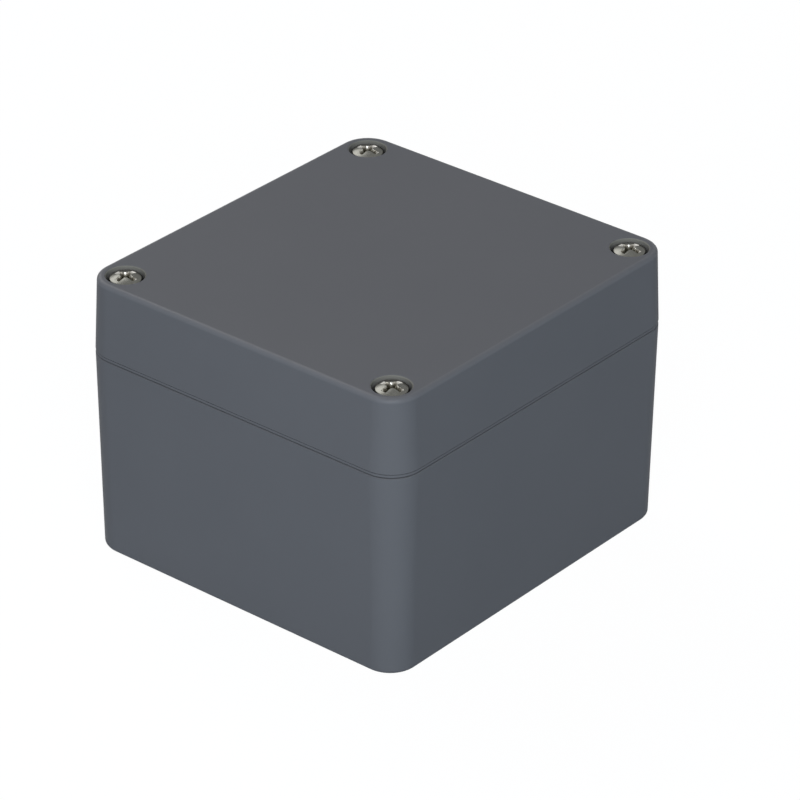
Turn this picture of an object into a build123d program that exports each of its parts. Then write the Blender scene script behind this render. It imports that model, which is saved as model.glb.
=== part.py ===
# A sealed plastic enclosure: a deep base, a tall lid that seats on it over a
# gasket, four captive lid screws, and the brass inserts that they and the
# fittings inside screw into. Millimetres, +Z up, the origin at the centre of
# the underside, X along the long side.
import os

from build123d import *

# Outer shell, measured at the joint between base and lid
length = 80.0                 # along X
width = 75.0                  # along Y
base_height = 41.0            # underside to the base's upper face
lid_height = 15.25            # lid's lower edge to its top face
joint_gap = 0.25              # open line between the two outer edges
corner_radius = 6.4           # upright corners
base_lean = 0.65              # draft of each side over the base's height
lid_lean = 0.65               # draft of each side over the lid's height
top_edge_radius = 0.8
bottom_edge_radius = 1.0
base_edge_break = 0.15        # small bevel on the base's upper edge
bevel_angle = 45.0
band_step = 0.07              # the lid's lower band is set in by this
band_height = 0.62            # with the fine groove above it
line_height = 0.16            # that groove, which draws a line round the lid
line_depth = 0.25

# Walls and the seal
rim = 2.2                     # wall outside the sealing tongue
tongue_width = 1.6
tongue_height = 1.2
tongue_bevel = 0.4            # lead-in on the tongue's top edges
floor_thickness = 4.0
roof_thickness = 3.0
cavity_lean = 0.35            # draft of the inner walls
cavity_corner = 4.0           # corners at the ends of the cavity's arms
pillar_corner = 4.0           # rounded edge of each corner pillar
floor_edge_radius = 1.2       # where the base's inner walls meet its floor
roof_edge_bevel = 0.9         # where the lid's inner walls meet its roof
seal_clearance = 0.3          # tongue to the groove's walls
groove_depth = 3.05
groove_lip = 1.2              # lid wall between its hollow and the groove
gasket_clearance = 0.1        # gasket to the groove's walls
gasket_bevel = 0.35

# Lid screws: raised cheese heads with a cross recess, and their retainers
screw_inset = 6.0             # axis to the lid's two nearest sides
screw_diameter = 3.0
screw_length = 20.0           # under the head
screw_tip_bevel = 0.4
head_diameter = 6.0
head_edge = 1.7               # height of the head's side
head_dome = 0.7               # rise of the dome above that
head_round = 0.35             # between the head's side and its dome
cross_span = 4.1              # cross recess, tip to tip
cross_arm = 0.95
cross_depth = 1.5
cross_foot = 0.5              # share of the recess's size left at its foot
recess_diameter = 7.25        # in the lid's top, round the head
recess_depth = 2.3
recess_edge_bevel = 0.2
screw_clearance = 0.3         # shank to the plastic round it
thread_clearance = 0.05       # shank to the inserts' and retainers' bores
screw_travel = 6.5            # thirteen turns of a 0.5 pitch
travel_spare = 0.1            # retainer to its stop when the screw is out
retainer_diameter = 6.0
retainer_thickness = 0.8
retainer_drop = 0.85          # retainer above the lid's lower edge
retainer_clearance = 0.5      # retainer to the walls of its pocket
retainer_bevel = 0.15
pad_wall = 1.0                # seating pad round each retainer's pocket

# Lid screw inserts in the base's pillars
insert_diameter = 5.0
insert_length = 6.0
insert_sink = 0.2             # insert's top below the base's upper face
insert_clearance = 0.03       # insert to its pocket
insert_groove = 0.35          # depth of the grip groove
insert_groove_share = 0.3     # groove's share of the insert's length
insert_bevel = 0.25
tip_room = 3.0                # bore below the insert, for the screw's tip

# Wall fixing holes, under the lid and outside the seal
fixing_offset = 9.0           # axis to the lid screw's axis, along Y
fixing_hole = 4.3
fixing_head_hole = 7.6
fixing_seat = 5.0             # thickness left under the screw's head
pillar_wall = 1.2             # between that hole and the sealing tongue
core_diameter = 7.0           # hollow in the lid above each fixing hole

# Bosses on the floor, with inserts for a board or a rail
boss_inset_x = 19.0           # axis to the lid's end
boss_inset_y = 10.5           # axis to the lid's side
boss_diameter = 8.0
boss_height = 7.0
boss_foot_bevel = 0.5         # where the bosses and ribs stand on the floor
rib_thickness = 2.0
rib_drop = 1.5                # rib's top below the boss's top
floor_insert_diameter = 4.6
floor_insert_length = 5.0
floor_insert_bore = 3.0

# Worked out from the sizes above
lid_bottom = base_height + joint_gap
lid_top = lid_bottom + lid_height
screw_spacing_x = length - 2 * screw_inset
screw_spacing_y = width - 2 * screw_inset
fixing_spacing_x = screw_spacing_x
fixing_spacing_y = screw_spacing_y - 2 * fixing_offset
boss_spacing_x = length - 2 * boss_inset_x
boss_spacing_y = width - 2 * boss_inset_y
cavity_x = length - 2 * (rim + tongue_width)
cavity_y = width - 2 * (rim + tongue_width)
arm_x = fixing_spacing_x - fixing_head_hole - 2 * (pillar_wall + tongue_width)
arm_y = fixing_spacing_y - fixing_head_hole - 2 * (pillar_wall + tongue_width)
groove_top = lid_bottom + groove_depth
tongue_top = base_height + tongue_height
head_seat = lid_top - recess_depth
retainer_bottom = lid_bottom + retainer_drop
retainer_top = retainer_bottom + retainer_thickness
pocket_top = retainer_top + screw_travel + travel_spare
pocket_diameter = retainer_diameter + 2 * retainer_clearance
shank_hole = screw_diameter + 2 * screw_clearance
thread_bore = screw_diameter + 2 * thread_clearance
insert_top = base_height - insert_sink
insert_bottom = insert_top - insert_length
boss_top = floor_thickness + boss_height

same_size = 0.001             # two sizes closer than this are the same

os.makedirs("parts", exist_ok=True)


def screw_spots():
    """The four lid screws' axes."""
    return GridLocations(screw_spacing_x, screw_spacing_y, 2, 2)


def fixing_spots():
    """The four wall fixing holes' axes."""
    return GridLocations(fixing_spacing_x, fixing_spacing_y, 2, 2)


def boss_spots():
    """The four floor bosses' axes."""
    return GridLocations(boss_spacing_x, boss_spacing_y, 2, 2)


def of_radius(circles, radius):
    """The circles that have this radius."""
    return circles.filter_by(lambda circle: abs(circle.radius - radius) < same_size)


def cross_plan(grow):
    """The cavity's plan, a cross between the corner pillars, grown all round."""
    with BuildSketch(Plane.XY, mode=Mode.PRIVATE) as plan:
        RectangleRounded(cavity_x + 2 * grow, arm_y + 2 * grow, cavity_corner + grow)
        RectangleRounded(arm_x + 2 * grow, cavity_y + 2 * grow, cavity_corner + grow)
        inner_corners = plan.vertices().sort_by_distance((0, 0, 0))[:4]
        fillet(inner_corners, pillar_corner - grow)
    return plan.sketch


def seal_ring(spread):
    """A ring along the cavity's edge: the tongue's width, spread on both sides."""
    with BuildSketch(Plane.XY, mode=Mode.PRIVATE) as ring:
        add(cross_plan(tongue_width + spread))
        add(cross_plan(-spread), mode=Mode.SUBTRACT)
    return ring.sketch


# Base: drafted shell, corner pillars, tongue, bosses and every hole in it
with BuildPart() as base:
    with BuildSketch(Plane.XY):
        RectangleRounded(length - 2 * base_lean, width - 2 * base_lean, corner_radius - base_lean)
    with BuildSketch(Plane.XY.offset(base_height - base_edge_break)):
        RectangleRounded(length, width, corner_radius)
    loft(ruled=True)
    fillet(base.faces().sort_by(Axis.Z)[0].edges(), bottom_edge_radius)
    with BuildSketch(Plane.XY.offset(base_height - base_edge_break)):
        RectangleRounded(length, width, corner_radius)
    extrude(amount=base_edge_break, taper=bevel_angle)

    # Cavity
    with BuildSketch(Plane.XY.offset(floor_thickness)):
        add(cross_plan(-cavity_lean))
    with BuildSketch(Plane.XY.offset(base_height)):
        add(cross_plan(0))
    loft(ruled=True, mode=Mode.SUBTRACT)
    floor_face = base.faces().filter_by(Axis.Z).group_by(Axis.Z)[1][0]
    fillet(floor_face.edges(), floor_edge_radius)

    # Sealing tongue
    with BuildSketch(Plane.XY.offset(base_height)):
        add(seal_ring(0))
    extrude(amount=tongue_height)
    chamfer(base.faces().sort_by(Axis.Z)[-1].edges(), tongue_bevel)

    # Bosses, each tied to the wall behind it by a rib
    with BuildSketch(Plane.XY.offset(floor_thickness)):
        with boss_spots():
            Circle(boss_diameter / 2)
    extrude(amount=boss_height)
    rib_length = (cavity_y - boss_spacing_y) / 2
    with BuildSketch(Plane.XY.offset(floor_thickness)):
        with GridLocations(boss_spacing_x, boss_spacing_y + rib_length, 2, 2):
            Rectangle(rib_thickness, rib_length)
    extrude(amount=boss_height - rib_drop)
    feet = base.edges().filter_by_position(Axis.Z, floor_thickness - same_size, floor_thickness + same_size)
    chamfer(feet, boss_foot_bevel)

    # Holes: wall fixings, lid screw inserts and floor inserts
    with Locations((0, 0, base_height)):
        with fixing_spots():
            CounterBoreHole(fixing_hole / 2, fixing_head_hole / 2, base_height - fixing_seat)
        with screw_spots():
            CounterBoreHole(
                shank_hole / 2,
                insert_diameter / 2 + insert_clearance,
                base_height - insert_bottom,
                base_height - insert_bottom + tip_room,
            )
    with Locations((0, 0, boss_top)):
        with boss_spots():
            Hole(floor_insert_diameter / 2 + insert_clearance, floor_insert_length)

# Lid: drafted shell with a set-in lower band
with BuildPart() as lid:
    with BuildSketch(Plane.XY.offset(lid_bottom + band_height)):
        RectangleRounded(length, width, corner_radius)
    with BuildSketch(Plane.XY.offset(lid_top)):
        RectangleRounded(length - 2 * lid_lean, width - 2 * lid_lean, corner_radius - lid_lean)
    loft(ruled=True)
    fillet(lid.faces().sort_by(Axis.Z)[-1].edges(), top_edge_radius)
    with BuildSketch(Plane.XY.offset(lid_bottom)):
        RectangleRounded(length - 2 * band_step, width - 2 * band_step, corner_radius - band_step)
    extrude(amount=band_height)
    with BuildSketch(Plane.XY.offset(lid_bottom + band_height - line_height)):
        line_inset = band_step + line_depth
        RectangleRounded(length, width, corner_radius)
        RectangleRounded(
            length - 2 * line_inset, width - 2 * line_inset, corner_radius - line_inset, mode=Mode.SUBTRACT
        )
    extrude(amount=line_height, mode=Mode.SUBTRACT)

    # Hollow, and the gasket's groove outside it
    hollow_grow = -(seal_clearance + groove_lip)
    with BuildSketch(Plane.XY.offset(lid_bottom)):
        add(cross_plan(hollow_grow))
    with BuildSketch(Plane.XY.offset(lid_top - roof_thickness)):
        add(cross_plan(hollow_grow - cavity_lean))
    loft(ruled=True, mode=Mode.SUBTRACT)
    roof_face = lid.faces().filter_by(Axis.Z).group_by(Axis.Z)[-2][0]
    chamfer(roof_face.edges(), roof_edge_bevel)
    with BuildSketch(Plane.XY.offset(lid_bottom)):
        add(seal_ring(seal_clearance))
    extrude(amount=groove_depth, mode=Mode.SUBTRACT)

    # Pads that seat on the base's pillars, round the retainers' pockets
    with BuildSketch(Plane.XY.offset(base_height)):
        with screw_spots():
            Circle(pocket_diameter / 2 + pad_wall)
    extrude(amount=joint_gap)
    with BuildSketch(Plane.XY.offset(base_height)):
        with screw_spots():
            Circle(pocket_diameter / 2)
    extrude(amount=pocket_top - base_height, mode=Mode.SUBTRACT)
    with BuildSketch(Plane.XY.offset(lid_bottom)):
        with fixing_spots():
            Circle(core_diameter / 2)
    extrude(amount=lid_height - roof_thickness, mode=Mode.SUBTRACT)

    # Recesses and bores for the screws
    with Locations((0, 0, lid_top)):
        with screw_spots():
            CounterBoreHole(shank_hole / 2, recess_diameter / 2, recess_depth, lid_top - pocket_top)
    top_circles = lid.edges().filter_by(GeomType.CIRCLE).group_by(Axis.Z)[-1]
    chamfer(of_radius(top_circles, recess_diameter / 2), recess_edge_bevel)

# Gasket, held in the lid's groove and resting on the tongue
with BuildPart() as gasket:
    with BuildSketch(Plane.XY.offset(tongue_top)):
        add(seal_ring(seal_clearance - gasket_clearance))
    extrude(amount=groove_top - tongue_top)
    chamfer(gasket.faces().sort_by(Axis.Z)[0].edges(), gasket_bevel)

# One lid screw on the Z axis, seated as it is in the lid
with BuildPart() as screw_blank:
    with BuildSketch(Plane.XZ):
        with BuildLine():
            Polyline(
                (0, head_seat - screw_length),
                (screw_diameter / 2 - screw_tip_bevel, head_seat - screw_length),
                (screw_diameter / 2, head_seat - screw_length + screw_tip_bevel),
                (screw_diameter / 2, head_seat),
                (head_diameter / 2, head_seat),
                (head_diameter / 2, head_seat + head_edge),
            )
            dome_radius = (head_dome**2 + head_diameter**2 / 4) / (2 * head_dome)
            RadiusArc(
                (head_diameter / 2, head_seat + head_edge),
                (0, head_seat + head_edge + head_dome),
                -dome_radius,
            )
            Line((0, head_seat + head_edge + head_dome), (0, head_seat - screw_length))
        make_face()
    revolve(axis=Axis.Z)
    head_circles = of_radius(screw_blank.edges().filter_by(GeomType.CIRCLE), head_diameter / 2)
    fillet(head_circles.sort_by(Axis.Z)[-1], head_round)

    # Cross recess, narrowing towards its foot
    for depth, share in ((0, 1), (cross_depth, cross_foot)):
        with BuildSketch(Plane.XY.offset(head_seat + head_edge + head_dome - depth)):
            Rectangle(cross_span * share, cross_arm * share)
            Rectangle(cross_arm * share, cross_span * share)
    loft(ruled=True, mode=Mode.SUBTRACT)

# One retainer, a plain ring gripped on the screw's shank
with BuildPart() as retainer_blank:
    with BuildSketch(Plane.XY.offset(retainer_bottom)):
        Circle(retainer_diameter / 2)
        Circle(thread_bore / 2, mode=Mode.SUBTRACT)
    extrude(amount=retainer_thickness)
    chamfer(retainer_blank.edges().filter_by(GeomType.CIRCLE).sort_by(SortBy.RADIUS)[-2:], retainer_bevel)

# One insert of each size: a turned sleeve with a grip groove round its middle
with BuildPart() as screw_insert_blank:
    with BuildSketch(Plane.XY.offset(insert_bottom)):
        Circle(insert_diameter / 2)
    extrude(amount=insert_length)
    chamfer(screw_insert_blank.edges().filter_by(GeomType.CIRCLE), insert_bevel)
    with BuildSketch(Plane.XY.offset(insert_bottom + insert_length * (1 - insert_groove_share) / 2)):
        Circle(insert_diameter / 2)
        Circle(insert_diameter / 2 - insert_groove, mode=Mode.SUBTRACT)
    extrude(amount=insert_length * insert_groove_share, mode=Mode.SUBTRACT)
    with Locations((0, 0, insert_top)):
        Hole(thread_bore / 2)

with BuildPart() as floor_insert_blank:
    with BuildSketch(Plane.XY.offset(boss_top)):
        Circle(floor_insert_diameter / 2)
    extrude(amount=-floor_insert_length)
    chamfer(floor_insert_blank.edges().filter_by(GeomType.CIRCLE), insert_bevel)
    groove_bottom = boss_top - floor_insert_length * (1 + insert_groove_share) / 2
    with BuildSketch(Plane.XY.offset(groove_bottom)):
        Circle(floor_insert_diameter / 2)
        Circle(floor_insert_diameter / 2 - insert_groove, mode=Mode.SUBTRACT)
    extrude(amount=floor_insert_length * insert_groove_share, mode=Mode.SUBTRACT)
    with Locations((0, 0, boss_top)):
        Hole(floor_insert_bore / 2)

# Single pieces
for name, piece in (("base", base), ("lid", lid), ("gasket", gasket)):
    piece.part.label = name
    export_step(piece.part, f"parts/{name}.step")

# Repeated pieces, one of each at every corner
repeats = (
    ("lid_screw", screw_blank, screw_spots()),
    ("screw_retainer", retainer_blank, screw_spots()),
    ("screw_insert", screw_insert_blank, screw_spots()),
    ("floor_insert", floor_insert_blank, boss_spots()),
)
for name, blank, spots in repeats:
    for number, spot in enumerate(spots, start=1):
        with BuildPart() as piece:
            with Locations(spot):
                add(blank.part)
        piece.part.label = f"{name}_{number}"
        export_step(piece.part, f"parts/{name}_{number}.step")
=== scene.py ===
# Sealed plastic enclosure: finishes, screws, seal and inserts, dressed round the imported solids.
import math

import bpy
import numpy as np
from mathutils import Matrix, Vector


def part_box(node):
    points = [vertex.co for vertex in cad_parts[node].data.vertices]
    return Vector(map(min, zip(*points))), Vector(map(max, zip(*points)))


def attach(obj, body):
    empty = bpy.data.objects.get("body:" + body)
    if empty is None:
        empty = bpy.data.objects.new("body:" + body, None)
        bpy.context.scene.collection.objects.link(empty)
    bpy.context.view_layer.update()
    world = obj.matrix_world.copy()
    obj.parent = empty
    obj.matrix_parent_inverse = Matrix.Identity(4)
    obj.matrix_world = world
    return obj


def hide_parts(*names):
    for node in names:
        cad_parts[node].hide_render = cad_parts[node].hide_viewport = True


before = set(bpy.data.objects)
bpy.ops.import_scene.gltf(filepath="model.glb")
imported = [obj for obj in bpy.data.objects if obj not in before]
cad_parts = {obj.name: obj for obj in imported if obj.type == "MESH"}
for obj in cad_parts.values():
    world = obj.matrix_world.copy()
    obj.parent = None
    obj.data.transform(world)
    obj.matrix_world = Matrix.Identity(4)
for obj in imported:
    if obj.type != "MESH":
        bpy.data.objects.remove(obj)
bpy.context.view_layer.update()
mm = 0.001


# A shader socket on which sums are written as Python
class Value:
    def __init__(self, nodes, socket):
        self.nodes = nodes
        self.socket = socket

    def sum(self, operation, *parts):
        return self.nodes.node("ShaderNodeMath", dict(operation=operation), dict(enumerate(parts)))

    def __add__(self, other):
        return self.sum("ADD", self, other)

    def __sub__(self, other):
        return self.sum("SUBTRACT", self, other)

    def __mul__(self, other):
        return self.sum("MULTIPLY", self, other)

    def __truediv__(self, other):
        return self.sum("DIVIDE", self, other)

    def __pow__(self, other):
        return self.sum("POWER", self, other)

    def __rsub__(self, other):
        return self.sum("SUBTRACT", other, self)

    def __rtruediv__(self, other):
        return self.sum("DIVIDE", other, self)

    __radd__ = __add__
    __rmul__ = __mul__


# The nodes of a material or of the world; all but the last, which endWith() adds, come from node()
class Nodes:
    def __init__(self, owner):
        owner.use_nodes = True
        self.tree = owner.node_tree
        self.tree.nodes.clear()

    def node(self, kind, settings, inputs, output=0):
        made = self.tree.nodes.new(kind)
        for setting, choice in settings.items():
            if setting == "stops":
                for place, (position, colour) in enumerate(choice):
                    ramp = made.color_ramp.elements
                    stop = ramp[place] if place < 2 else ramp.new(position)
                    stop.position = position
                    stop.color = colour
            else:
                setattr(made, setting, choice)
        for socket, part in inputs.items():
            if isinstance(part, Value):
                self.tree.links.new(part.socket, made.inputs[socket])
            else:
                made.inputs[socket].default_value = part
        return Value(self, made.outputs[output])

    def endWith(self, kind, value):
        self.tree.links.new(value.socket, self.tree.nodes.new(kind).inputs["Surface"])

    def clamp(self, value):
        return self.node("ShaderNodeClamp", {}, {"Value": value})

    # 1 on rays from the camera, off gloss and through glass, 0 on those that only carry light
    def seenRays(self):
        seen = self.node("ShaderNodeLightPath", {}, {}, "Is Camera Ray")
        path = seen.socket.node
        for ray in ("Is Glossy Ray", "Is Transmission Ray"):
            seen = seen.sum("MAXIMUM", seen, Value(self, path.outputs[ray]))
        return seen


# One material with a Principled shader
class Shader(Nodes):
    def __init__(self, name, **constants):
        self.material = bpy.data.materials.new(name)
        super().__init__(self.material)
        inputs = {socket.replace("_", " "): constant for socket, constant in constants.items()}
        surface = self.node("ShaderNodeBsdfPrincipled", {}, inputs, "BSDF")
        self.principled = surface.socket.node
        self.endWith("ShaderNodeOutputMaterial", surface)

    def feed(self, socket, value):
        self.tree.links.new(value.socket, self.principled.inputs[socket])

    def noise(self, place, scale, detail=2.0, roughness=0.5):
        inputs = {"Vector": place, "Scale": scale, "Detail": detail, "Roughness": roughness}
        return self.node("ShaderNodeTexNoise", {}, inputs)

    def objectPlace(self):
        return self.node("ShaderNodeTexCoord", {}, {}, "Object")

    # Places on the piece's own map, stretched so that a pattern becomes turned marks
    def turnedPlace(self, scale):
        wrap = self.node("ShaderNodeTexCoord", {}, {}, "UV")
        return self.node("ShaderNodeMapping", {}, {"Vector": wrap, "Scale": scale})

    # The three numbers of a vector
    def axes(self, place):
        first = self.node("ShaderNodeSeparateXYZ", {}, {"Vector": place})
        return [Value(self, socket) for socket in first.socket.node.outputs]

    def mix(self, share, first, second):
        inputs = {"Factor": share, "A": first, "B": second}
        return self.node("ShaderNodeMix", dict(data_type="RGBA"), inputs, "Result")

    def bump(self, height, strength, distance):
        inputs = {"Strength": strength, "Distance": distance, "Height": height}
        self.feed("Normal", self.node("ShaderNodeBump", {}, inputs, "Normal"))


plasticFinish = dict(
    colour=(0.119, 0.1245, 0.1395, 1),
    worn=(0.132, 0.1375, 0.1525, 1),
    refraction=1.5,
    shine=0.05,             # strength of the surface reflection, 0.5 is the full one
    roughness=0.5,
    grainGloss=0.08,        # how far the grain and the clouds change the roughness
    cloudGloss=0.05,
    grain=(5200.0, 3.0, 0.6),  # noise scale, detail and roughness: a mould texture of about 0.2 mm
    grainStrength=1.0,
    grainDepth=0.010 * mm,
    clouds=(45.0, 3.0),
    edge=(0.137, 0.143, 0.160, 1),  # painted highlight on the lid's rounded top edge
    edgeCoat=0.16,
    coatRoughness=0.34,
    edgeBand=0.95 * mm,     # width of the edge's painted highlight and coat, on the top and down the side
    edgeFade=0.30 * mm,
    topInset=0.65 * mm,     # top face's outline, inside the lid's widest
    topCorner=5.75 * mm,
    recess=(0.205, 0.205, 0.188, 1),  # painted light on the upper walls of the screw recesses
    recessRim=3.83 * mm,
    recessFade=0.15 * mm,
    recessFoot=2.3 * mm,    # how far below the top this painted light ends
)


# 1 on the lid's rounded top edge and 0 elsewhere, from how far a place lies inside the rounded
# rectangle of the top's outline, and from how far it lies below the top
def topEdge(shader, place, finish):
    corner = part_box("lid")[1]
    x, y, z = shader.axes(place)
    squares = 0.0
    for part, half in ((x, corner.x), (y, corner.y)):
        beyond = part.sum("ABSOLUTE", part) - (half - finish["topInset"] - finish["topCorner"])
        squares = squares + beyond.sum("MAXIMUM", beyond, 0.0) ** 2
    share = 1.0
    for inside in (finish["topCorner"] - squares ** 0.5, corner.z - z):
        share = share * shader.clamp((finish["edgeBand"] - inside) / finish["edgeFade"])
    return share


# 1 within the rims of the lid's screw recesses, falling to 0 at their foot. The four are mirror
# images of each other, so the place of one screw gives them all.
def recessLightMask(shader, place, finish):
    low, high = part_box("lid_screw_4")
    x, y, z = shader.axes(place)
    alongX = x.sum("ABSOLUTE", x) - (low.x + high.x) / 2
    alongY = y.sum("ABSOLUTE", y) - (low.y + high.y) / 2
    reach = (alongX ** 2 + alongY ** 2) ** 0.5
    within = shader.clamp((finish["recessRim"] - reach) / finish["recessFade"])
    height = shader.clamp((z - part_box("lid")[1].z) / finish["recessFoot"] + 1.0)
    return within * height


# Moulded plastic: fine even grain from the mould and faint clouds in tone and gloss; a painted
# highlight and a thin coat along the lid's top edge, and painted light on the upper walls of the
# screw recesses
def makePlastic(name, finish):
    surface = dict(Specular_IOR_Level=finish["shine"], Coat_Roughness=finish["coatRoughness"])
    shader = Shader(name, IOR=finish["refraction"], **surface)
    place = shader.objectPlace()
    clouds = shader.noise(place, *finish["clouds"])
    grain = shader.noise(place, *finish["grain"])
    edgeHighlightAndGloss = topEdge(shader, place, finish)
    plain = shader.mix(clouds, finish["colour"], finish["worn"])
    # painted highlight: a lighter colour along the lid's rounded top edge, which also gets a thin
    # coat
    withEdgeHighlight = shader.mix(edgeHighlightAndGloss, plain, finish["edge"])
    # painted light: a lighter tone on the upper walls of the screw recesses
    inRecess = recessLightMask(shader, place, finish)
    shader.feed("Base Color", shader.mix(inRecess, withEdgeHighlight, finish["recess"]))
    shader.feed("Coat Weight", edgeHighlightAndGloss * finish["edgeCoat"])
    uneven = finish["grainGloss"] * (grain - 0.5) + finish["cloudGloss"] * (clouds - 0.5)
    shader.feed("Roughness", finish["roughness"] + uneven)
    shader.bump(grain, finish["grainStrength"], finish["grainDepth"])
    return shader.material


steelFinish = dict(
    colour=(0.148, 0.149, 0.138, 1),
    shade=(0.104, 0.104, 0.093, 1),
    # Painted light in the cross recess by depth: a painted highlight at the lip, painted shade at
    # the foot
    recessLightAndShade=(
        (0.08, (0.58, 0.57, 0.54, 1)),
        (0.36, (0.32, 0.31, 0.28, 1)),
        (0.70, (0.16, 0.155, 0.12, 1)),
    ),
    lipSteepness=16.0,
    edgeTint=(0.55, 0.55, 0.55, 1),  # keeps the far side of the head from lighting up
    roughness=0.27,
    markGloss=0.16,
    spotGloss=0.10,
    turnScale=(2.0, 26.0, 1.0),     # turned marks: long round the head, fine outwards
    marks=(9.0, 4.0, 0.65),
    markStrength=0.5,
    markDepth=0.006 * mm,
    spots=(1400.0, 3.0),
)


# Stainless steel with fine marks that run round the head, and painted light and shade down in the
# recess
def makeSteel(name, finish):
    shader = Shader(name, Metallic=1.0, Specular_Tint=finish["edgeTint"])
    marks = shader.noise(shader.turnedPlace(finish["turnScale"]), *finish["marks"])
    spots = shader.noise(shader.objectPlace(), *finish["spots"])
    depth = shader.node("ShaderNodeUVMap", dict(uv_map="depth"), {}, "UV")
    sunk = shader.axes(depth)[0]
    ramp = dict(stops=finish["recessLightAndShade"])
    # painted highlight at the recess's lip, darkening to painted shade at its foot
    inside = shader.node("ShaderNodeValToRGB", ramp, {"Fac": sunk}, "Color")
    outside = shader.mix(spots, finish["shade"], finish["colour"])
    lip = shader.clamp(finish["lipSteepness"] * sunk)
    shader.feed("Base Color", shader.mix(lip, outside, inside))
    uneven = finish["markGloss"] * (marks - 0.5) + finish["spotGloss"] * (spots - 0.5)
    shader.feed("Roughness", finish["roughness"] + uneven)
    shader.bump(marks, finish["markStrength"], finish["markDepth"])
    return shader.material


brassFinish = dict(
    colour=(0.74, 0.53, 0.22, 1),
    dull=(0.52, 0.36, 0.15, 1),
    roughness=0.28,
    patchGloss=0.2,
    markGloss=0.1,
    turnScale=(2.0, 30.0, 1.0),
    marks=(8.0, 3.0),
    markStrength=0.4,
    markDepth=0.006 * mm,
    patches=(500.0, 3.0),
)


# Turned brass, a little dull in patches
def makeBrass(name, finish):
    shader = Shader(name, Metallic=1.0)
    marks = shader.noise(shader.turnedPlace(finish["turnScale"]), *finish["marks"])
    patches = shader.noise(shader.objectPlace(), *finish["patches"])
    shader.feed("Base Color", shader.mix(patches, finish["dull"], finish["colour"]))
    uneven = finish["patchGloss"] * (patches - 0.5) + finish["markGloss"] * (marks - 0.5)
    shader.feed("Roughness", finish["roughness"] + uneven)
    shader.bump(marks, finish["markStrength"], finish["markDepth"])
    return shader.material


rubberFinish = dict(
    colour=(0.018, 0.018, 0.019, 1),
    dusty=(0.032, 0.032, 0.033, 1),
    refraction=1.5,
    roughness=0.62,
    bloomGloss=0.2,
    bloom=(260.0, 4.0),
    pores=(7000.0, 2.0),
    poreStrength=0.6,
    poreDepth=0.01 * mm,
)


# Soft black rubber with a faint dusty bloom
def makeRubber(name, finish):
    shader = Shader(name, IOR=finish["refraction"])
    place = shader.objectPlace()
    bloom = shader.noise(place, *finish["bloom"])
    pores = shader.noise(place, *finish["pores"])
    shader.feed("Base Color", shader.mix(bloom, finish["colour"], finish["dusty"]))
    shader.feed("Roughness", finish["roughness"] + finish["bloomGloss"] * (bloom - 0.5))
    shader.bump(pores, finish["poreStrength"], finish["poreDepth"])
    return shader.material


nylonFinish = dict(
    colour=(0.78, 0.75, 0.64, 1),
    shade=(0.70, 0.66, 0.54, 1),
    roughness=0.38,
    refraction=1.53,
    glow=0.25,                  # share of the light that goes in, and how far, in metres
    glowReach=(0.002, 0.0018, 0.0012),
    milk=(900.0, 3.0),
    milkGloss=0.12,
    milkStrength=0.3,
    milkDepth=0.01 * mm,
)


# Natural nylon, slightly milky
def makeNylon(name, finish):
    soft = dict(Subsurface_Weight=finish["glow"], Subsurface_Radius=finish["glowReach"])
    shader = Shader(name, IOR=finish["refraction"], **soft)
    milk = shader.noise(shader.objectPlace(), *finish["milk"])
    shader.feed("Base Color", shader.mix(milk, finish["shade"], finish["colour"]))
    shader.feed("Roughness", finish["roughness"] + finish["milkGloss"] * (milk - 0.5))
    shader.bump(milk, finish["milkStrength"], finish["milkDepth"])
    return shader.material


wrapUnit = 10 * mm      # distance along a turned section that is 1 on its map
weldDigits = 7          # places are joined when they agree to this many decimals of a metre
nearAxis = 0.001 * mm   # keeps a division by the distance from the axis finite
cornerNumbers = (1, 2, 3, 4)


# A mesh from points and triangles or quads, with a map for each list of places given
def makeMesh(name, points, faces, **maps):
    mesh = bpy.data.meshes.new(name)
    corners = np.concatenate([np.asarray(group).ravel() for group in faces]).astype(np.int32)
    counts = np.concatenate([np.full(len(group), np.asarray(group).shape[1]) for group in faces])
    starts = np.concatenate([[0], np.cumsum(counts)[:-1]]).astype(np.int32)
    mesh.vertices.add(len(points))
    mesh.vertices.foreach_set("co", np.asarray(points, np.float32).ravel())
    mesh.loops.add(len(corners))
    mesh.loops.foreach_set("vertex_index", corners)
    mesh.polygons.add(len(counts))
    mesh.polygons.foreach_set("loop_start", starts)
    for title, places in maps.items():
        layer = mesh.uv_layers.new(name=title)
        layer.data.foreach_set("uv", np.asarray(places, np.float32)[corners].ravel())
    mesh.update(calc_edges=True)
    mesh.validate()
    return mesh


# An object that shows a mesh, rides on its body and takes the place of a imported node
def makePiece(name, mesh, material, body, node, sharpAngle=40.0):
    mesh.shade_smooth()
    mesh.set_sharp_from_angle(angle=math.radians(sharpAngle))
    piece = bpy.data.objects.new(name, mesh)
    bpy.context.scene.collection.objects.link(piece)
    mesh.materials.append(material)
    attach(piece, body)
    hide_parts(node)
    return piece


# Quads between neighbouring rows of a grid that closes on itself across its columns
def ringQuads(rowCount, columnCount, first=0):
    row, column = np.meshgrid(np.arange(rowCount - 1), np.arange(columnCount), indexing="ij")
    after = (column + 1) % columnCount
    a = first + row * columnCount + column
    b = first + row * columnCount + after
    quads = np.stack([a, b, b + columnCount, a + columnCount], axis=-1)
    return quads.reshape(-1, 4)


# Triangles from one row of a closed grid to a single point in its middle
def fan(firstOfRow, columnCount, middle, flip):
    column = np.arange(columnCount)
    a = firstOfRow + column
    b = firstOfRow + (column + 1) % columnCount
    centre = np.full(columnCount, middle)
    return np.stack([b, a, centre] if flip else [a, b, centre], axis=-1)


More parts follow.
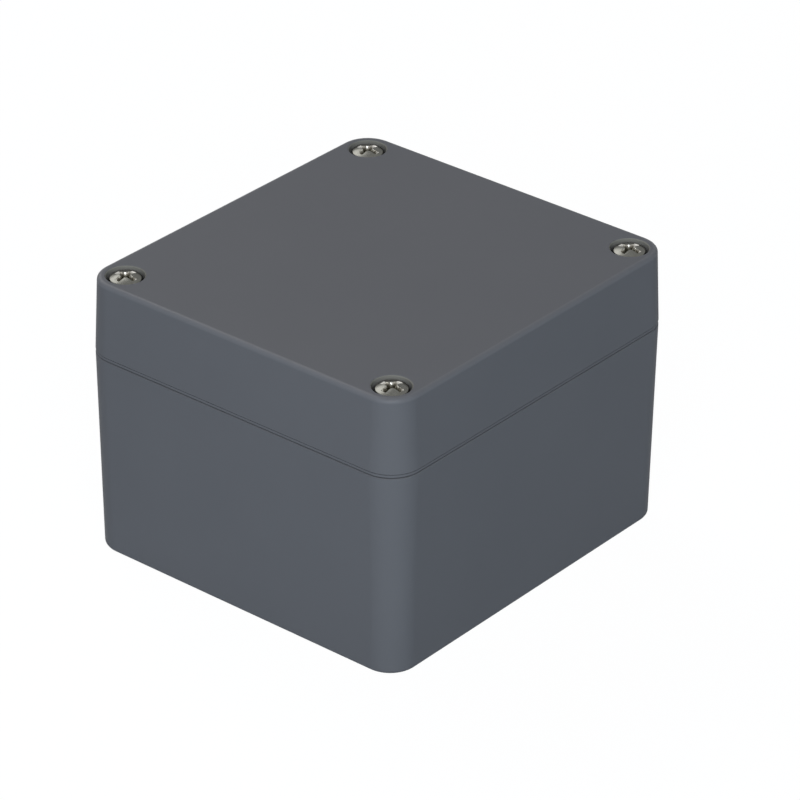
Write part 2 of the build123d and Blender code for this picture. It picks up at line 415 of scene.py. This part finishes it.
# A ring turned about the Z axis: its section is a closed outline, so the last row joins the first
def turnedRing(name, radius, height, centre):
    rowCount, columnCount = radius.shape
    angle = np.linspace(0, 2 * np.pi, columnCount, endpoint=False)
    points = np.empty((rowCount, columnCount, 3))
    points[..., 0] = centre[0] + radius * np.cos(angle)
    points[..., 1] = centre[1] + radius * np.sin(angle)
    points[..., 2] = centre[2] + height
    row, column = np.meshgrid(np.arange(rowCount), np.arange(columnCount), indexing="ij")
    after = (column + 1) % columnCount
    above = (row + 1) % rowCount
    corners = [row * columnCount + column, row * columnCount + after]
    corners += [above * columnCount + after, above * columnCount + column]
    quads = np.stack(corners, axis=-1).reshape(-1, 4)
    turn = np.broadcast_to(angle / (2 * np.pi), radius.shape)
    wrap = np.stack([turn, (radius + height) / wrapUnit], axis=-1)
    return makeMesh(name, points.reshape(-1, 3), [quads], wrap=wrap.reshape(-1, 2))


# A CAD solid's surface as one smooth mesh: corners that share a place become one point
def weldedCopy(name, node):
    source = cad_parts[node].data
    points = np.empty(len(source.vertices) * 3, np.float32)
    source.vertices.foreach_get("co", points)
    triangles = np.empty(len(source.loops), np.int32)
    source.loops.foreach_get("vertex_index", triangles)
    rounded = np.round(points.reshape(-1, 3), weldDigits)
    places, where = np.unique(rounded, axis=0, return_inverse=True)
    triangles = where.ravel()[triangles].reshape(-1, 3)
    a, b, c = triangles.T
    triangles = triangles[(a != b) & (b != c) & (c != a)]
    return makeMesh(name, places, [triangles])


screwShape = dict(
    length=20.0 * mm,
    shankRadius=1.48 * mm,
    rootRadius=1.19 * mm,
    pitch=0.5 * mm,
    plainLength=1.0 * mm,      # shank without thread, under the head
    tipBevel=0.4 * mm,
    headRadius=3.1 * mm,
    headEdge=1.7 * mm,
    dome=0.7 * mm,
    rimRound=0.42 * mm,
    crossReach=2.33 * mm,      # centre to the tip of an arm
    armHalf=0.56 * mm,
    wallRun=0.32 * mm,         # how far a wall leans in over its depth
    crossDepth=1.55 * mm,
    tipSlope=1.15,             # steepness of the recess's floor at the arm's tip
    pitRadius=0.95 * mm,
    blockHalf=2.45 * mm,       # half of the square patch that holds the cross
    drawIn=0.60 * mm,          # width over which the patch's corners are drawn in to a disc
    lipLine=0.03 * mm,         # a last line of points just outside each wall
    patchLines=41,
    ringSteps=14,
    rimSteps=6,
    footRound=0.15 * mm,       # under the head's side
    footSteps=5,
    footReach=0.8,             # the head's underside ends inside the shank, at this share of it
    flankStart=1.25,           # the thread's wave, before it is cut flat at 0 and 1
    flankSlope=3.0,
    threadColumns=64,
    rowsPerPitch=10,
)


# Depth of the cross recess at a place: the walls' depth or the sloping floor's, whichever is less
def crossDepth(x, y, shape):
    reach = np.hypot(x, y)
    inArms = np.maximum(shape["armHalf"] - np.abs(x), shape["armHalf"] - np.abs(y))
    inPit = shape["pitRadius"] - reach
    inside = np.maximum(inArms, inPit)
    wall = np.clip(inside / shape["wallRun"], 0, 1) * shape["crossDepth"]
    floor = np.clip((shape["crossReach"] - reach) * shape["tipSlope"], 0, shape["crossDepth"])
    return np.minimum(wall, floor)


# Radius of the sphere whose cap is as high as the dome and as wide as the head
def domeRadius(shape):
    return (shape["dome"] ** 2 + shape["headRadius"] ** 2) / (2 * shape["dome"])


# Height of the dome at a distance from the axis: that sphere's cap, on top of the head's side
def domeHeight(reach, shape):
    sphere = domeRadius(shape)
    return shape["headEdge"] + shape["dome"] - sphere + np.sqrt(sphere**2 - reach**2)


# Distances and heights of the head's outline: an arc from the dome into the side, the side, a small
# arc under it, and the underside as far as the shank
def headOutline(shape, tilt):
    rim, foot = shape["rimRound"], shape["footRound"]
    sphere = domeRadius(shape)
    rimHeight = shape["headEdge"] + shape["dome"] - sphere + (sphere - rim) * math.cos(tilt)
    bend = np.linspace(tilt, math.pi / 2, shape["rimSteps"] + 1)[1:]
    under = np.linspace(0, math.pi / 2, shape["footSteps"])
    atRim = shape["headRadius"] - rim + rim * np.sin(bend)
    atFoot = shape["headRadius"] - foot + foot * np.cos(under)
    last = shape["shankRadius"] * shape["footReach"]
    reach = np.concatenate([atRim, atFoot, [last]])
    height = np.concatenate([rimHeight + rim * np.cos(bend), foot - foot * np.sin(under), [0.0]])
    return reach, height


# The head: a square patch with the cross, spread by rings to the round rim, then down the side
def makeHead(shape):
    half = shape["blockHalf"]
    arm = shape["armHalf"]
    run = shape["wallRun"]
    breaks = np.array([arm + shape["lipLine"], arm, arm - run / 2, arm - run, shape["crossReach"]])
    lines = np.concatenate([np.linspace(-half, half, shape["patchLines"]), breaks, -breaks])
    lines = np.unique(np.round(lines, weldDigits))
    count = len(lines)
    x, y = np.meshgrid(lines, lines, indexing="ij")
    # Beside the arms the square is drawn in to a disc, so that its corners stay inside the rim
    square = np.maximum(np.abs(x), np.abs(y))
    beside = np.minimum(np.abs(x), np.abs(y)) - arm
    keep = np.clip(1 - beside / shape["drawIn"], 0, 1)
    reach = np.hypot(x, y)
    squeeze = (square + (reach - square) * keep) / np.maximum(reach, nearAxis)
    x, y = x * squeeze, y * squeeze
    z = domeHeight(np.hypot(x, y), shape) - crossDepth(x, y, shape)
    block = np.stack([x, y, z], axis=-1)
    number = np.arange(count * count).reshape(count, count)
    corners = [number[:-1, :-1], number[1:, :-1], number[1:, 1:], number[:-1, 1:]]
    quads = np.stack(corners, axis=-1).reshape(-1, 4)
    # Once round the patch's edge, anticlockwise from above, and rings from there to the rim
    edge = np.concatenate([number[:-1, 0], number[-1, :-1], number[:0:-1, -1], number[0, :0:-1]])
    edgePoints = block.reshape(-1, 3)[edge]
    turn = np.arctan2(edgePoints[:, 1], edgePoints[:, 0])
    sphere = domeRadius(shape)
    rimCentre = shape["headRadius"] - shape["rimRound"]
    tilt = math.asin(rimCentre / (sphere - shape["rimRound"]))
    outer = sphere * math.sin(tilt)
    rows = []
    for share in np.linspace(0, 1, shape["ringSteps"] + 1)[1:]:
        ringX = edgePoints[:, 0] * (1 - share) + outer * np.cos(turn) * share
        ringY = edgePoints[:, 1] * (1 - share) + outer * np.sin(turn) * share
        rows.append(np.stack([ringX, ringY, domeHeight(np.hypot(ringX, ringY), shape)], axis=-1))
    reach, height = (part[:, None] for part in headOutline(shape, tilt))
    side = np.stack([reach * np.cos(turn), reach * np.sin(turn), height + 0 * turn], axis=-1)
    rows = np.concatenate([rows, side])
    columnCount = len(edge)
    first = count * count
    outerQuads = ringQuads(len(rows), columnCount, first)[:, ::-1]
    after = np.roll(np.arange(columnCount), -1)
    joining = np.stack([edge, first + np.arange(columnCount), first + after, edge[after]], axis=-1)
    points = np.vstack([block.reshape(-1, 3), rows.reshape(-1, 3), [[0, 0, 0]]])
    lastRow = first + (len(rows) - 1) * columnCount
    underside = fan(lastRow, columnCount, len(points) - 1, True)
    faces = [quads, joining, outerQuads, underside]
    return points, faces


# Radius of a thread: a wave of the height less the angle's share of the pitch, with straight flanks
# and cut flat at crest and root
def threadRadius(angle, height, shape):
    phase = (height / shape["pitch"] - angle / (2 * np.pi)) % 1.0
    wave = np.clip(shape["flankStart"] - np.abs(phase - 0.5) * shape["flankSlope"], 0, 1)
    return shape["rootRadius"] + (shape["shankRadius"] - shape["rootRadius"]) * wave


# The shank: a tube of the thread's radius by height and angle, plain under the head and bevelled at
# the tip, closed at both ends
def makeShank(shape):
    columnCount = shape["threadColumns"]
    step = shape["pitch"] / shape["rowsPerPitch"]
    height = np.arange(0, shape["length"] + step / 2, step)
    angle = np.linspace(0, 2 * np.pi, columnCount, endpoint=False)
    radius = threadRadius(angle[None, :], height[:, None], shape)
    threaded = shape["length"] - shape["plainLength"]
    fade = np.clip((height - threaded) / shape["pitch"], 0, 1)[:, None]
    radius = radius * (1 - fade) + shape["shankRadius"] * fade
    tip = shape["shankRadius"] - shape["tipBevel"] + height[:, None]
    radius = np.minimum(radius, tip)
    points = np.empty(radius.shape + (3,))
    points[..., 0] = radius * np.cos(angle)
    points[..., 1] = radius * np.sin(angle)
    points[..., 2] = height[:, None] - shape["length"]
    rowCount = len(height)
    ends = [[0, 0, -shape["length"]], [0, 0, 0]]
    allPoints = np.vstack([points.reshape(-1, 3), ends])
    faces = [
        ringQuads(rowCount, columnCount),
        fan(0, columnCount, rowCount * columnCount, True),
        fan((rowCount - 1) * columnCount, columnCount, rowCount * columnCount + 1, False),
    ]
    return allPoints, faces


insertShape = dict(
    pillarBore=1.55 * mm,      # radii
    floorBore=1.5 * mm,
    clearance=0.06 * mm,       # the insert's thread to the screw's
    knurlDepth=0.12 * mm,
    land=0.35,                 # share of the length that each knurled band takes
    grooveDepth=0.30 * mm,
    bevel=0.25 * mm,
    columns=64,
    rowsPerPitch=8,
)


# A threaded sleeve: its section is walked once round, up the knurled outside and down the threaded
# bore. The knurl is a zigzag of the radius from column to column, and the thread is the screw's own
# wave, kept clear of it.
def makeInsert(name, low, high, boreRadius, threadStart, shape):
    columns = shape["columns"]
    outer = (high.x - low.x) / 2
    length = high.z - low.z
    bevel, groove = shape["bevel"], shape["grooveDepth"]
    landEnd = shape["land"] * length
    outside = [
        (outer - bevel, 0.0, 0),
        (outer, bevel, 1),
        (outer, landEnd, 1),
        (outer - groove, landEnd, 0),
        (outer - groove, length - landEnd, 0),
        (outer, length - landEnd, 1),
        (outer, length - bevel, 1),
        (outer - bevel, length, 0),
        (boreRadius + bevel, length, 0),
    ]
    angle = np.linspace(0, 2 * np.pi, columns, endpoint=False)
    reach, height, knurled = np.array(outside).T
    zigzag = np.where(np.arange(columns) % 2 == 0, 0.0, shape["knurlDepth"])
    outerRows = reach[:, None] - knurled[:, None] * zigzag[None, :]
    outerHeights = np.repeat(height[:, None], columns, axis=1)
    step = screwShape["pitch"] / shape["rowsPerPitch"]
    down = np.arange(length - bevel, bevel - step / 2, -step)
    wave = threadRadius(angle[None, :], (low.z + down)[:, None] - threadStart, screwShape)
    innerRows = np.minimum(wave + shape["clearance"], boreRadius)
    ending = np.minimum(down - bevel, length - bevel - down)[:, None] / screwShape["pitch"]
    innerRows = boreRadius - (boreRadius - innerRows) * np.clip(ending, 0, 1)
    innerHeights = np.repeat(down[:, None], columns, axis=1)
    foot = np.full((1, columns), boreRadius + bevel)
    radius = np.vstack([outerRows, innerRows, foot])
    heights = np.vstack([outerHeights, innerHeights, np.zeros((1, columns))])
    centre = np.array([(low.x + high.x) / 2, (low.y + high.y) / 2, low.z])
    return turnedRing(name, radius, heights, centre)


# One insert under each lid screw, in step with its thread, and one in each floor boss
def makeInserts(material):
    for number in cornerNumbers:
        low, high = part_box(f"screw_insert_{number}")
        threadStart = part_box(f"lid_screw_{number}")[0].z
        name, bore = f"pillarInsert{number}", insertShape["pillarBore"]
        mesh = makeInsert(name, low, high, bore, threadStart, insertShape)
        makePiece(name, mesh, material, "base", f"screw_insert_{number}")
        low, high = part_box(f"floor_insert_{number}")
        name, bore = f"floorInsert{number}", insertShape["floorBore"]
        mesh = makeInsert(name, low, high, bore, low.z, insertShape)
        makePiece(name, mesh, material, "base", f"floor_insert_{number}")
    print("inserts", len(mesh.vertices), "points each")


# One mesh of head and shank for the four screws, moved to each place, with a map of turned marks
# and a map of the depth in the recess
def makeScrews(material):
    headPoints, headFaces = makeHead(screwShape)
    shankPoints, shankFaces = makeShank(screwShape)
    points = np.vstack([headPoints, shankPoints])
    faces = headFaces + [group + len(headPoints) for group in shankFaces]
    turn = np.arctan2(points[:, 1], points[:, 0]) / (2 * np.pi)
    reach = np.hypot(points[:, 0], points[:, 1])
    outwards = (reach + np.abs(points[:, 2])) / wrapUnit
    wrap = np.stack([turn, outwards], axis=-1)
    # The depth goes by x and y alone, so what lies far below the recess is left out
    headTop = screwShape["headEdge"] + screwShape["dome"]
    inRecess = points[:, 2] > headTop - 2 * screwShape["crossDepth"]
    sunk = crossDepth(points[:, 0], points[:, 1], screwShape) * inRecess
    depth = np.stack([sunk / screwShape["crossDepth"], np.zeros(len(points))], axis=-1)
    for number in cornerNumbers:
        low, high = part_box(f"lid_screw_{number}")
        seat = np.array([(low.x + high.x) / 2, (low.y + high.y) / 2, low.z + screwShape["length"]])
        name, body = f"crossScrew{number}", f"screw_{number}"
        mesh = makeMesh(name, points + seat, faces, wrap=wrap, depth=depth)
        makePiece(name, mesh, material, body, f"lid_screw_{number}")
    print("screws", len(points), "points each")


shellShape = dict(
    sharpAngle=30.0,           # degrees; edges flatter than this are shaded smooth
    flatWeight=100,            # how much large faces pull the shading flat
)


# A moulding keeps the solid's own surface, with its shading evened out
def dressShell(node, body, material, shape):
    name, sharp = node + "Shell", shape["sharpAngle"]
    mesh = weldedCopy(name, node)
    piece = makePiece(name, mesh, material, body, node, sharp)
    weight = piece.modifiers.new("evenNormals", "WEIGHTED_NORMAL")
    weight.keep_sharp = True
    weight.weight = shape["flatWeight"]


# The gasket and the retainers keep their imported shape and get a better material
def dressSeals(seal, ring):
    for name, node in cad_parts.items():
        if name == "gasket" or name.startswith("screw_retainer"):
            node.data.materials.clear()
            node.data.materials.append(seal if name == "gasket" else ring)


print("materials")
plastic = makePlastic("mouldedPlastic", plasticFinish)
steel = makeSteel("brightSteel", steelFinish)
brass = makeBrass("turnedBrass", brassFinish)
rubber = makeRubber("softRubber", rubberFinish)
nylon = makeNylon("naturalNylon", nylonFinish)

print("shells")
dressShell("base", "base", plastic, shellShape)
dressShell("lid", "lid", plastic, shellShape)
makeScrews(steel)
makeInserts(brass)
print("gasket and retainers")
dressSeals(rubber, nylon)


photoCamera = dict(
    azimuth=-50.32,      # degrees, 0 looks along +Y
    elevation=29.52,
    roll=0.38,
    distance=0.8208,     # metres from the aim point
    focalPixels=4420.9,  # focal length in pixels of the 800 pixel frame
    framePixels=800,
    sensor=36.0,
    aimHeight=0.028,
    aimRight=0.00397,
    aimUp=-0.00054,
    near=0.01,           # clipping distances
    far=20.0,
)

light = dict(
    worldStrength=0.05,
    distance=1.3,
    floorSize=6.0,
    floorColour=(0.44, 0.50, 0.57),
    floorGlow=0.93,      # share of the floor that the camera sees as plain white
    floorWhite=1.05,
)

# Soft boxes: the key beside the camera, a cool low fill, and one behind that the screw heads mirror
lamps = dict(
    key=dict(azimuth=-52.5, elevation=32.5, power=14.2, size=0.9, colour=(1, 1, 1)),
    fill=dict(azimuth=-42.0, elevation=8.0, power=2.6, size=0.9, colour=(0.41, 0.80, 1)),
    rear=dict(azimuth=-198.0, elevation=41.0, power=7.0, size=0.8, colour=(1, 0.98, 0.96)),
)


# The direction from the object to something at an azimuth and an elevation in degrees
def towards(azimuth, elevation):
    a, e = math.radians(azimuth), math.radians(elevation)
    return Vector((math.sin(a) * math.cos(e), -math.cos(a) * math.cos(e), math.sin(e)))


# The camera looks at a point a little beside the object's axis, and is turned by the roll
def placeCamera(shape):
    azimuth = math.radians(shape["azimuth"])
    back = towards(shape["azimuth"], shape["elevation"])
    right = Vector((math.cos(azimuth), math.sin(azimuth), 0))
    up = back.cross(right)
    aim = Vector((0, 0, shape["aimHeight"])) + right * shape["aimRight"] + up * shape["aimUp"]
    roll = math.radians(shape["roll"])
    across = right * math.cos(roll) + up * math.sin(roll)
    upright = up * math.cos(roll) - right * math.sin(roll)
    camera = bpy.data.objects.new("photoCamera", bpy.data.cameras.new("photoCamera"))
    camera.data.lens = shape["focalPixels"] * shape["sensor"] / shape["framePixels"]
    camera.data.sensor_width = shape["sensor"]
    camera.data.clip_start = shape["near"]
    camera.data.clip_end = shape["far"]
    turned = Matrix((across, upright, back)).transposed().to_4x4()
    camera.matrix_world = Matrix.Translation(aim + back * shape["distance"]) @ turned
    bpy.context.scene.collection.objects.link(camera)
    bpy.context.scene.camera = camera


# A soft box that faces the object
def placeLamp(name, shape):
    lamp = bpy.data.objects.new(name, bpy.data.lights.new(name, "AREA"))
    lamp.data.energy = shape["power"]
    lamp.data.size = shape["size"]
    lamp.data.color = shape["colour"]
    direction = towards(shape["azimuth"], shape["elevation"])
    lamp.location = direction * light["distance"]
    lamp.rotation_mode = "QUATERNION"
    lamp.rotation_quaternion = direction.to_track_quat("Z", "Y")
    bpy.context.scene.collection.objects.link(lamp)


# White where the camera, gloss or glass looks; a softer grey where it lights the object
def makeWorld():
    world = bpy.data.worlds.new("studio")
    bpy.context.scene.world = world
    nodes = Nodes(world)
    span = {"Value": nodes.seenRays(), "To Min": light["worldStrength"], "To Max": 1.0}
    strength = nodes.node("ShaderNodeMapRange", {}, span, "Result")
    plain = {"Color": (1, 1, 1, 1), "Strength": strength}
    nodes.endWith("ShaderNodeOutputWorld", nodes.node("ShaderNodeBackground", {}, plain))


# A pale floor that keeps the object's soft shadow and is otherwise white to the camera
def makeFloor():
    half = light["floorSize"] / 2
    corners = [(-half, -half, 0), (half, -half, 0), (half, half, 0), (-half, half, 0)]
    mesh = makeMesh("floor", np.array(corners), [np.array([[0, 1, 2, 3]])])
    floor = bpy.data.objects.new("floor", mesh)
    bpy.context.scene.collection.objects.link(floor)
    material = bpy.data.materials.new("paleFloor")
    nodes = Nodes(material)
    share = nodes.seenRays() * light["floorGlow"]
    lit = nodes.node("ShaderNodeBsdfDiffuse", {}, {"Color": (*light["floorColour"], 1)})
    glow = nodes.node("ShaderNodeEmission", {}, {"Strength": light["floorWhite"]})
    mixed = nodes.node("ShaderNodeMixShader", {}, {0: share, 1: lit, 2: glow})
    nodes.endWith("ShaderNodeOutputMaterial", mixed)
    mesh.materials.append(material)


print("studio")
placeCamera(photoCamera)
makeWorld()
makeFloor()
for name, shape in lamps.items():
    placeLamp(name + "Lamp", shape)
bpy.context.scene.view_settings.view_transform = "Standard"
